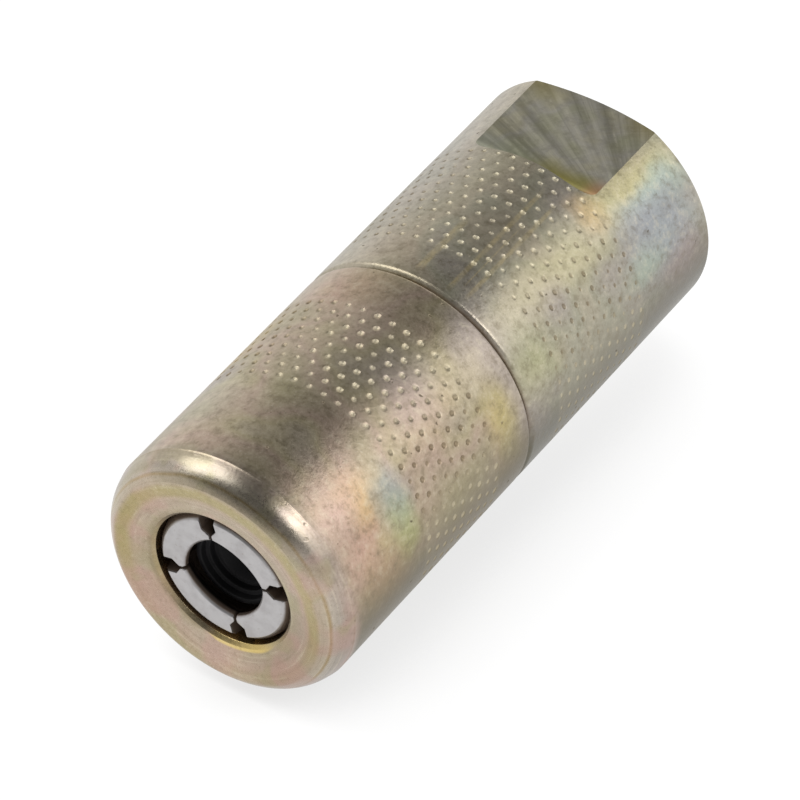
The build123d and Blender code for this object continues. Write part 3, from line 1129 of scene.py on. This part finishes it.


# The milling cutter turned about a point off to the side: its fine arcs circle that point, and
# the painted reflection streaks across them fan out from there
milledFlat = {
    "fanAcross": 8.7,
    "fanAlong": -9.25,
    "broadStreak": 0.28,
    "fineStreak": 0.8,
    "grooveScale": 5.0,
    "film": [(0.0, 180, 178, 152), (0.5, 188, 184, 172), (1.0, 192, 186, 158)],
    # colour and strength of the painted reflection streaks, the blotches and the tints at both ends
    "darkBroad": (112, 108, 88, 0.42),
    "lightBroad": (232, 226, 206, 0.32),
    "darkFine": (110, 106, 88, 0.40),
    "lightFine": (236, 230, 208, 0.30),
    "blotch": (118, 112, 94, 0.24),
    "rearTint": (160, 146, 80, 0.60),
    "frontTint": (158, 164, 136, 0.40),
    # the cutter's run-out is yellow, and copper red at its corner
    "runOutReach": (-4.9, -6.3),
    "runOutShare": 0.80,
    "runOut": [(0.0, 160, 150, 66), (1.0, 206, 156, 104)],
}


def flatFinish():
    # Milled flat: painted reflection streaks fanning out across fine arcs, plated olive and grey,
    # yellower at its ends
    material, shader, place = startFinish("milledZinc", Metallic=1.0)
    side, rearward = place.axis(0), place.axis(1)
    across = side - milledFlat["fanAcross"]
    along = rearward - milledFlat["fanAlong"]
    reach = stretched(across, along).length()
    turn = across.calc("ARCTAN2", along) * (180 / math.pi)
    broad = stretched(turn * milledFlat["broadStreak"], reach * 0.05).noise(1.0, detail=2.0)
    fine = stretched(turn * milledFlat["fineStreak"], reach * 0.12)
    fine = fine.noise(1.0, detail=3.0, roughness=0.65)
    grooves = stretched(reach * milledFlat["grooveScale"], turn * 0.02).noise(1.0, detail=2.0)
    blotch = place.noise(1.7, detail=3.0, roughness=0.6)
    patches = blotch.between(0.3, 0.7)
    runOut = rearward.between(*milledFlat["runOutReach"]) * side.between(-1.6, 2.0)
    colour = place.noise(0.45, detail=2.0).between(0.3, 0.7).tinted(milledFlat["film"])
    colour = colour.coated(
        milledFlat,
        # painted light and dark reflection streaks, broad and fine
        darkBroad=broad.below(0.32, 0.56),
        lightBroad=broad.between(0.48, 0.72),
        darkFine=fine.below(0.30, 0.52) * patches,
        lightFine=fine.between(0.50, 0.72) * patches,
        blotch=blotch.below(0.32, 0.55),
        rearTint=rearward.between(-2.0, -0.3) * side.calc("ABSOLUTE").between(1.0, 3.4),
        frontTint=rearward.below(-6.4, -4.6) * side.below(-1.0, 1.6),
    )
    yellow = side.between(2.6, 3.8).tinted(milledFlat["runOut"])
    colour = colour.painted(yellow, runOut * milledFlat["runOutShare"])
    height = raised(grooves + fine * 0.5, 0.6, 0.010 * mm)
    connect(shader, Base_Color=colour, Roughness=0.30 + fine * 0.2, Normal=height)
    return material


jawSteelLook = {
    "ground": [(0.0, 182, 180, 180), (1.0, 168, 165, 165)],
    "stain": (132, 120, 104, 0.35),
    # old grease and painted shade behind the front face
    "grease": (96, 76, 58, 0.88),
    "greaseBehind": (0.05, 0.16),  # mm behind the front face
    # painted near-black shade on the inner faces near the axis
    "dark": (26, 23, 20, 1.0),
    "darkBehind": (0.10, 0.70),
}


def jawFinish():
    # Hardened bare steel, ground bright in front; behind the front face brown with old grease and
    # painted shade, and near black as painted shade on the inner faces near the axis
    material, shader, place = startFinish("jawSteel")
    cloud = place.noise(1.4, detail=4.0, roughness=0.6)
    grain = place.noise(14.0, detail=2.0)
    look = jawSteelLook
    behind = place.axis(1) - jawLow.y / mm
    greased = behind.between(*look["greaseBehind"])
    colour = cloud.between(0.35, 0.75).tinted(look["ground"]).coated(
        look,
        stain=place.noise(4.0, detail=3.0).between(0.62, 0.75),
        # old grease and painted shade behind the front face, and painted near-black shade further
        # in
        grease=greased,
        dark=behind.between(*look["darkBehind"]) * axisDistance(place).below(2.7, 3.1),
    )
    roughness = 0.30 + grain * 0.16 + greased * 0.10
    connect(
        shader, Base_Color=colour, Roughness=roughness, Metallic=1 - greased * 0.6,
        Normal=raised(grain, 0.3, 0.008 * mm),
    )
    return material


def plainSteel(name, light, dark, roughness, ringScale):
    # Bare steel with the fine rings of turning or drawing, and a thin film of grease
    material, shader, place = startFinish(name, Metallic=1.0)
    rings = place.scaled((0.4, ringScale, 0.4)).noise(1.0, detail=2.0)
    colour = place.noise(0.7, detail=3.0).between(0.3, 0.7).ramp([(0.0, light), (1.0, dark)])
    height = raised(rings, 0.4, 0.01 * mm)
    connect(shader, Base_Color=colour, Roughness=roughness + rings * 0.15, Normal=height)
    return material


def rubberFinish():
    material, shader, place = startFinish("sealRubber", Metallic=0.0, Specular_IOR_Level=0.28)
    cloud = place.noise(1.2, detail=4.0)
    grain = place.noise(16.0, detail=2.0)
    colour = cloud.tinted([(0.3, 10, 10, 12), (0.7, 18, 17, 19)])
    height = raised(grain + cloud, 0.35, 0.012 * mm)
    connect(shader, Base_Color=colour, Roughness=0.55 + grain * 0.2, Normal=height)
    return material


def dress(piece, material):
    piece.data.materials.clear()
    piece.data.materials.append(material)


def dressFlats(piece, material):
    # The second finish, on the two milled flats alone
    piece.data.materials.append(material)
    onlySelect(piece)
    bpy.ops.object.mode_set(mode="EDIT")
    flatStart = rearBody["inletFace"] - rearBody["flatLength"] - 0.01 * mm
    reach = math.hypot(rearBody["flatHeight"], rearBody["outerRadius"])

    def isMilled(face):
        middle = face.calc_center_median()
        inBore = math.hypot(middle.x, middle.z) < 5 * mm
        if inBore or middle.y < flatStart or abs(face.normal.x) > 0.02:
            return False
        level = abs(abs(middle.z) - rearBody["flatHeight"]) < 0.02 * mm
        runOut = face.normal.y > 0.05 and abs(middle.z) < reach and middle.y < -6.0 * mm
        return (level and abs(face.normal.z) > 0.99) or runOut

    pick(piece, "FACE", isMilled)
    piece.active_material_index = 1
    bpy.ops.object.material_slot_assign()
    selectNothing()


dress(capPiece, zincFinish("yellowZincCap", zincCap, ringedNose, cap["knurl"]))
bodyZinc = zincFinish("yellowZincBody", zincBody, rubbedBody, rearBody["knurl"])
dress(bodyPiece, bodyZinc)
dressFlats(bodyPiece, flatFinish())
dress(threadPiece, bodyZinc)
jawSteel = jawFinish()
for jawPiece in jawPieces:
    dress(jawPiece, jawSteel)
rubber = rubberFinish()
dress(sealPiece, rubber)
dress(oRingPiece, rubber)
turnedSteel = plainSteel("turnedSteel", shown(186, 184, 182), shown(160, 158, 154), 0.25, 9.0)
for node in ("thrust_ring", "plunger", "seal_washer", "retaining_ring"):
    dress(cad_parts[node], turnedSteel)
springSteel = plainSteel("springSteel", shown(150, 148, 150), shown(112, 108, 104), 0.28, 3.0)
dress(mainSpringPiece, springSteel)
dress(checkSpringPiece, springSteel)
ballSteel = plainSteel("ballSteel", shown(206, 206, 208), shown(190, 190, 192), 0.08, 1.0)
dress(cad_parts["check_ball"], ballSteel)
print("finishes laid on")


# Studio

studio = {
    "cameraPlace": Vector((0.11502, -0.18967, 0.20302)),
    "cameraTarget": Vector((0.00019, -0.01961, -0.00006)),
    "lens": 246.1,
    "frontDark": 0.15,
    "floorLevel": -capHigh.z,
    "floorSize": 4.0,
    "floorLight": 0.93,
    "floorGrey": 0.15,
    # the floor's soft shade: how far it reaches round the coupler, and the side that has it
    "shadeReach": 0.02,
    "shadeSide": (-4.0, 6.0),
    "shadeLean": 0.22,
    "shadeTurn": 18.0,
    "shade": 0.22,
    # the room's grey, from its bottom to its top
    "sky": [(0.00, 0.82), (0.36, 0.78), (0.61, 0.16), (1.00, 0.10)],
    # each panel's place and aim, its width and height in metres, and its power
    "panels": {
        "leftBox": ((-0.264, -0.066, 0.326), (0, -0.018, 0), 0.27, 0.30, 0.76),
        "frontRightBox": ((0.215, -0.040, 0.275), (0, -0.025, 0), 0.16, 0.12, 0.22),
        "rightBox": ((0.250, 0.100, 0.240), (0, 0.100, 0), 0.42, 0.26, 0.36),
    },
}


def buildCamera():
    camera = newObject("camera", bpy.data.cameras.new("camera"))
    camera.location = studio["cameraPlace"]
    looking = studio["cameraTarget"] - studio["cameraPlace"]
    camera.rotation_euler = looking.to_track_quat("-Z", "Y").to_euler()
    camera.data.lens = studio["lens"]
    camera.data.sensor_width = 36
    camera.data.clip_start = 0.01
    camera.data.clip_end = 20
    bpy.context.scene.camera = camera


def softLight(name, place, aim, width, height, power):
    # A lit panel at a place, facing its aim; its width lies level
    light = bpy.data.lights.new(name, "AREA")
    light.shape = "RECTANGLE"
    light.size = width
    light.size_y = height
    light.energy = power
    lamp = newObject(name, light)
    lamp.location = place
    lamp.rotation_euler = (Vector(aim) - Vector(place)).to_track_quat("-Z", "Y").to_euler()


def buildFloor():
    selectNothing()
    level = (0, 0, studio["floorLevel"])
    bpy.ops.mesh.primitive_plane_add(size=studio["floorSize"], location=level)
    floor = startPiece("floor")
    grey = studio["floorGrey"]
    material, shader, place = startFinish(
        "paleFloor", Roughness=0.9, Base_Color=(grey, grey, grey, 1),
        Emission_Strength=studio["floorLight"],
    )
    # The soft shade lies on the side away from the left light
    reach = {"Distance": studio["shadeReach"]}
    openness = place.node("ShaderNodeAmbientOcclusion", {"samples": 12}, reach, result=1)
    away = place.axis(0) - (place.axis(1) + studio["shadeTurn"]) * studio["shadeLean"]
    shade = (1 - openness).between(0.23, 0.68) * away.between(*studio["shadeSide"])
    light = 1 - shade * studio["shade"]
    connect(shader, Emission_Color=light.ramp([(0.0, (0, 0, 0, 1)), (1.0, (1, 1, 1, 1))]))
    dress(floor, material)


def buildWorld():
    world = bpy.data.worlds.new("studio")
    bpy.context.scene.world = world
    world.use_nodes = True
    tree = world.node_tree
    background = tree.nodes["Background"]
    # The dark of the room starts lower in front, on the nose's side, than behind
    coordinates = tree.nodes.new("ShaderNodeTexCoord")
    direction = Field(tree, coordinates.outputs["Generated"])
    upward = direction.axis(2) - direction.axis(1) * studio["frontDark"]
    sky = upward.ramp([(place, (grey, grey, grey, 1)) for place, grey in studio["sky"]])
    tree.links.new(sky.socket, background.inputs["Color"])


buildCamera()
buildFloor()
buildWorld()
for name, panel in studio["panels"].items():
    softLight(name, *panel)
bpy.context.scene.view_settings.view_transform = "Standard"
print("studio set")
